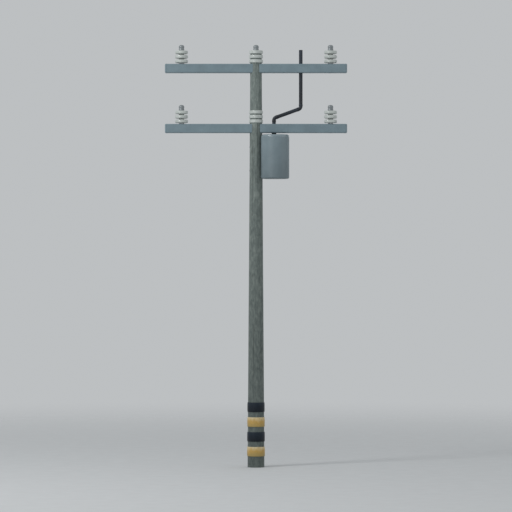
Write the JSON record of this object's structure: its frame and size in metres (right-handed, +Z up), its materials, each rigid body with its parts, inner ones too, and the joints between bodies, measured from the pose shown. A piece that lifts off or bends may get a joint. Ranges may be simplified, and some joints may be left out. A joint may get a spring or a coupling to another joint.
{
  "type": "wooden utility pole",
  "caption": "Tapered wooden utility pole with steel crossarms, disc insulators, a transformer can hung on one side, a bent riser pipe and marker sleeves round its foot.",
  "frame": {"origin": "centre of the pole's flat butt, at the level where the pole stands in the ground", "axes": "+Z up along the pole, +X along the crossarms to the side that carries the transformer, -Y towards the front, where the transformer stands proud of the arms"},
  "size_m": [3.64, 0.64, 8.4406],
  "materials": {
    "weathered_wood": "matte",
    "arm_paint": "satin",
    "tank_paint": "satin",
    "glazed_porcelain": "gloss",
    "galvanised_steel": "satin",
    "yellow_plastic": "satin",
    "black_plastic": "satin",
    "riser_plastic": "satin"
  },
  "bodies": {
    "root": {"pole_shaft": "weathered_wood", "foot_sleeve_yellow_low": "yellow_plastic", "foot_sleeve_black_low": "black_plastic", "foot_sleeve_yellow_high": "yellow_plastic", "foot_sleeve_black_high": "black_plastic", "upper_arm_left": "arm_paint", "upper_arm_left_cap": "arm_paint", "upper_arm_right": "arm_paint", "upper_arm_right_cap": "arm_paint", "lower_arm_left": "arm_paint", "lower_arm_left_cap": "arm_paint", "lower_arm_right": "arm_paint", "lower_arm_right_cap": "arm_paint", "insulator_base_upper_left": "galvanised_steel", "insulator_upper_left": "glazed_porcelain", "insulator_knob_upper_left": "galvanised_steel", "insulator_base_upper_right": "galvanised_steel", "insulator_upper_right": "glazed_porcelain", "insulator_knob_upper_right": "galvanised_steel", "insulator_base_lower_left": "galvanised_steel", "insulator_lower_left": "glazed_porcelain", "insulator_knob_lower_left": "galvanised_steel", "insulator_base_lower_right": "galvanised_steel", "insulator_lower_right": "glazed_porcelain", "insulator_knob_lower_right": "galvanised_steel", "upper_collar_1": "glazed_porcelain", "upper_collar_2": "glazed_porcelain", "pole_cap_disc": "glazed_porcelain", "pole_top_knob": "galvanised_steel", "lower_collar_1": "glazed_porcelain", "lower_collar_2": "glazed_porcelain", "lower_collar_3": "glazed_porcelain", "transformer_tank": "tank_paint", "transformer_lid": "tank_paint", "transformer_hanger_lower": "galvanised_steel", "transformer_hanger_upper": "galvanised_steel", "riser_bushing": "black_plastic", "riser_lower_run": "riser_plastic", "riser_elbow_low": "riser_plastic", "riser_slanted_run": "riser_plastic", "riser_elbow_high": "riser_plastic", "riser_upper_run": "riser_plastic", "riser_cap": "riser_plastic"}
  },
  "joints": []
}
